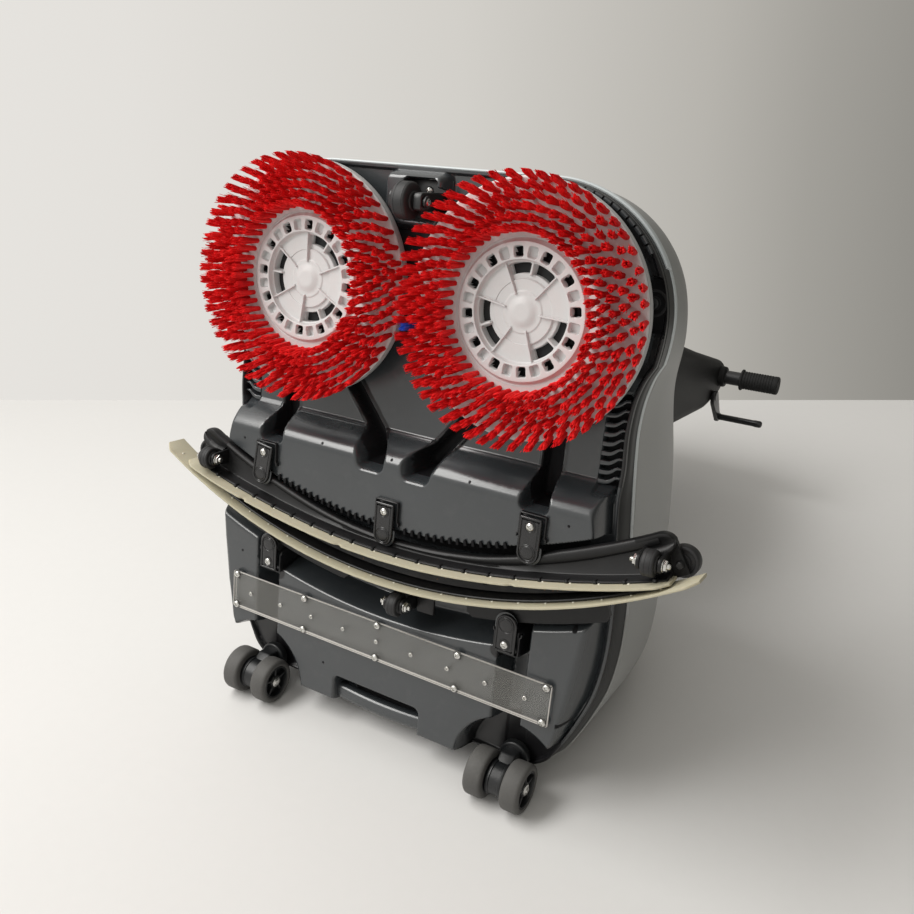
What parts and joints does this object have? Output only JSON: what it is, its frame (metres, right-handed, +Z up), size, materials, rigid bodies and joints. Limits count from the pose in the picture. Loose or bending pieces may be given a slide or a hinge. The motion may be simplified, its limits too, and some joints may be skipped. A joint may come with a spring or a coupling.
{
  "type": "walk-behind floor scrubber dryer",
  "caption": "Walk-behind floor scrubber dryer tipped onto its tail, with twin disc brushes, swinging curved squeegee, dual-wheel casters, grey tank and folding push handle.",
  "frame": {"origin": "centre of the tail foot's bottom face, on the floor and on the machine's mid-plane", "axes": "+X to the picture's right across the machine, +Y away from the camera towards the handle, +Z up; the machine stands on its tail casters and tail foot"},
  "size_m": [0.7145, 1.047, 0.7056],
  "materials": {
    "chassis_plastic": "satin moulded plastic, dark blue grey",
    "tank_plastic": "satin rotation-moulded plastic, light grey",
    "foot_rubber": "matt black rubber",
    "gear_housing": "cast aluminium",
    "motor_case": "black painted steel",
    "battery_case": "black battery case",
    "inner_tank": "translucent grey tank",
    "black_plastic": "glossy black glass-filled plastic",
    "clear_plastic": "clear flexible sheet",
    "steel": "zinc-plated steel",
    "board_plastic": "light grey moulded plastic",
    "red_bristle": "red nylon bristle",
    "blade_rubber": "translucent beige gum rubber",
    "wheel_rubber": "dark grey rubber",
    "console_plastic": "textured dark grey plastic",
    "bar_metal": "black powder coat",
    "grip_rubber": "soft black rubber",
    "blue_plastic": "blue plastic",
    "green_plastic": "green plastic"
  },
  "bodies": {
    "chassis": {"chassis_shell": "chassis_plastic", "tank_body": "tank_plastic", "tail_foot": "foot_rubber", "left_gearbox": "gear_housing", "right_gearbox": "gear_housing", "left_motor": "motor_case", "right_motor": "motor_case", "battery_pack": "battery_case", "recovery_tank": "inner_tank", "vacuum_motor": "motor_case", "suction_duct": "black_plastic", "splash_strip": "clear_plastic", "strip_fasteners": "steel", "front_roller_bracket": "chassis_plastic", "roller_axles": "steel", "latch_screws": "steel", "hinge_pins": "steel"},
    "filler_cap": {"filler_cap": "blue_plastic"},
    "left_brush": {"left_brush_board": "board_plastic", "left_bristles": "red_bristle", "left_spindle": "steel"},
    "right_brush": {"right_brush_board": "board_plastic", "right_bristles": "red_bristle", "right_spindle": "steel"},
    "left_pinion": {"left_pinion": "steel"},
    "right_pinion": {"right_pinion": "steel"},
    "squeegee": {"squeegee_frame": "black_plastic", "front_blade": "blade_rubber", "rear_blade": "blade_rubber", "blade_clamp": "black_plastic", "roller_bolts": "steel"},
    "left_caster": {"left_caster_fork": "black_plastic", "left_caster_axle": "steel"},
    "right_caster": {"right_caster_fork": "black_plastic", "right_caster_axle": "steel"},
    "handle": {"handle_column": "console_plastic", "handle_bar": "bar_metal", "handle_grips": "grip_rubber"},
    "left_end_roller": {"left_end_roller": "wheel_rubber"},
    "right_end_roller": {"right_end_roller": "wheel_rubber"},
    "left_bumper_wheel": {"left_bumper_wheel": "wheel_rubber"},
    "right_bumper_wheel": {"right_bumper_wheel": "wheel_rubber"},
    "rear_roller": {"rear_roller": "wheel_rubber"},
    "front_left_latch": {"front_left_latch": "black_plastic"},
    "front_centre_latch": {"front_centre_latch": "black_plastic"},
    "front_right_latch": {"front_right_latch": "black_plastic"},
    "rear_left_latch": {"rear_left_latch": "black_plastic"},
    "rear_right_latch": {"rear_right_latch": "black_plastic"},
    "left_outer_wheel": {"left_outer_wheel": "wheel_rubber"},
    "left_inner_wheel": {"left_inner_wheel": "wheel_rubber"},
    "right_inner_wheel": {"right_inner_wheel": "wheel_rubber"},
    "right_outer_wheel": {"right_outer_wheel": "wheel_rubber"},
    "front_roller": {"front_roller": "wheel_rubber"},
    "left_side_roller": {"left_side_roller": "wheel_rubber"},
    "right_side_roller": {"right_side_roller": "wheel_rubber"},
    "drive_lever": {"drive_lever": "black_plastic"},
    "solution_knob": {"solution_knob": "blue_plastic"},
    "start_button": {"start_button": "green_plastic"},
    "suction_button": {"suction_button": "blue_plastic"}
  },
  "joints": [
    {"name": "left_brush_spin", "type": "hinge", "parent": "chassis", "child": "left_brush", "pos_m": [-0.143, -0.22584, 0.5588], "axis": [0, 0.9865, -0.1637], "continuous": true},
    {"name": "right_brush_spin", "type": "hinge", "parent": "chassis", "child": "right_brush", "pos_m": [0.143, -0.22584, 0.5588], "axis": [0, 0.9865, -0.1637], "continuous": true},
    {"name": "left_pinion_spin", "type": "hinge", "parent": "chassis", "child": "left_pinion", "pos_m": [-0.143, -0.19948, 0.47333], "axis": [0, 0.9865, -0.1637], "continuous": true},
    {"name": "right_pinion_spin", "type": "hinge", "parent": "chassis", "child": "right_pinion", "pos_m": [0.143, -0.19948, 0.47333], "axis": [0, 0.9865, -0.1637], "continuous": true},
    {"name": "squeegee_swing", "type": "hinge", "parent": "chassis", "child": "squeegee", "pos_m": [0, -0.19502, 0.89731], "axis": [0, 0.9865, -0.1637], "range_deg": [-3.5, 8.5]},
    {"name": "front_left_latch_turn", "type": "hinge", "parent": "chassis", "child": "front_left_latch", "pos_m": [-0.188, -0.29202, 0.34322], "axis": [0, 0.9865, -0.1637], "range_deg": [-90, 90]},
    {"name": "front_centre_latch_turn", "type": "hinge", "parent": "chassis", "child": "front_centre_latch", "pos_m": [0, -0.29719, 0.31205], "axis": [0, 0.9865, -0.1637], "range_deg": [-90, 90]},
    {"name": "front_right_latch_turn", "type": "hinge", "parent": "chassis", "child": "front_right_latch", "pos_m": [0.188, -0.29202, 0.34322], "axis": [0, 0.9865, -0.1637], "range_deg": [-90, 90]},
    {"name": "rear_left_latch_turn", "type": "hinge", "parent": "chassis", "child": "rear_left_latch", "pos_m": [-0.174, -0.31596, 0.19889], "axis": [0, 0.9865, -0.1637], "range_deg": [-90, 90]},
    {"name": "rear_right_latch_turn", "type": "hinge", "parent": "chassis", "child": "rear_right_latch", "pos_m": [0.174, -0.31596, 0.19889], "axis": [0, 0.9865, -0.1637], "range_deg": [-90, 90]},
    {"name": "left_caster_swivel", "type": "hinge", "parent": "chassis", "child": "left_caster", "pos_m": [-0.188, -0.29253, 0.03464], "axis": [0, 0.9865, -0.1637], "continuous": true},
    {"name": "right_caster_swivel", "type": "hinge", "parent": "chassis", "child": "right_caster", "pos_m": [0.188, -0.29253, 0.03464], "axis": [0, 0.9865, -0.1637], "continuous": true},
    {"name": "left_outer_wheel_spin", "type": "hinge", "parent": "left_caster", "child": "left_outer_wheel", "pos_m": [-0.212, -0.34398, 0.03], "axis": [1, 0, 0], "continuous": true},
    {"name": "left_inner_wheel_spin", "type": "hinge", "parent": "left_caster", "child": "left_inner_wheel", "pos_m": [-0.164, -0.34398, 0.03], "axis": [1, 0, 0], "continuous": true},
    {"name": "right_outer_wheel_spin", "type": "hinge", "parent": "right_caster", "child": "right_outer_wheel", "pos_m": [0.212, -0.34398, 0.03], "axis": [1, 0, 0], "continuous": true},
    {"name": "right_inner_wheel_spin", "type": "hinge", "parent": "right_caster", "child": "right_inner_wheel", "pos_m": [0.164, -0.34398, 0.03], "axis": [1, 0, 0], "continuous": true},
    {"name": "front_roller_spin", "type": "hinge", "parent": "chassis", "child": "front_roller", "pos_m": [0, -0.24088, 0.66367], "axis": [1, 0, 0], "continuous": true},
    {"name": "left_side_roller_spin", "type": "hinge", "parent": "chassis", "child": "left_side_roller", "pos_m": [-0.268, -0.18837, 0.57691], "axis": [0, 0.9865, -0.1637], "continuous": true},
    {"name": "right_side_roller_spin", "type": "hinge", "parent": "chassis", "child": "right_side_roller", "pos_m": [0.268, -0.18837, 0.57691], "axis": [0, 0.9865, -0.1637], "continuous": true},
    {"name": "left_end_roller_spin", "type": "hinge", "parent": "squeegee", "child": "left_end_roller", "pos_m": [-0.27157, -0.311, 0.32352], "axis": [0.999, 0.0071, 0.043], "continuous": true},
    {"name": "right_end_roller_spin", "type": "hinge", "parent": "squeegee", "child": "right_end_roller", "pos_m": [0.32153, -0.30676, 0.34906], "axis": [0.999, 0.0071, 0.043], "continuous": true},
    {"name": "rear_roller_spin", "type": "hinge", "parent": "squeegee", "child": "rear_roller", "pos_m": [0.03049, -0.32954, 0.21175], "axis": [0.999, 0.0071, 0.043], "continuous": true},
    {"name": "left_bumper_spin", "type": "hinge", "parent": "squeegee", "child": "left_bumper_wheel", "pos_m": [-0.29951, -0.27389, 0.31196], "axis": [0, 0.9865, -0.1637], "continuous": true},
    {"name": "right_bumper_spin", "type": "hinge", "parent": "squeegee", "child": "right_bumper_wheel", "pos_m": [0.34983, -0.26925, 0.33993], "axis": [0, 0.9865, -0.1637], "continuous": true},
    {"name": "filler_cap_turn", "type": "hinge", "parent": "chassis", "child": "filler_cap", "pos_m": [0, 0.0737, 0.10363], "axis": [0, 0.9865, -0.1637], "range_deg": [0, 90]},
    {"name": "handle_fold", "type": "hinge", "parent": "chassis", "child": "handle", "pos_m": [0, 0.12727, 0.35323], "axis": [-1, 0, 0], "range_deg": [0, 35]},
    {"name": "drive_lever_pull", "type": "hinge", "parent": "handle", "child": "drive_lever", "pos_m": [0.155, 0.57241, 0.20741], "axis": [1, 0, 0], "range_deg": [0, 25], "stiffness_Nm_per_rad": 2, "springref_deg": -2.86},
    {"name": "solution_knob_turn", "type": "hinge", "parent": "handle", "child": "solution_knob", "pos_m": [0.128, 0.34722, 0.37756], "axis": [0, -0.1637, -0.9865], "range_deg": [0, 270]},
    {"name": "start_button_press", "type": "slide", "parent": "handle", "child": "start_button", "axis": [0, 0.1637, 0.9865], "range_m": [0, 0.004], "stiffness_N_per_m": 400, "springref_m": -0.001},
    {"name": "suction_button_press", "type": "slide", "parent": "handle", "child": "suction_button", "axis": [0, 0.1637, 0.9865], "range_m": [0, 0.004], "stiffness_N_per_m": 400, "springref_m": -0.001}
  ],
  "couplings": [
    {"joint": "left_pinion_spin", "follows": "left_brush_spin", "ratio": -3},
    {"joint": "right_pinion_spin", "follows": "right_brush_spin", "ratio": -3}
  ]
}
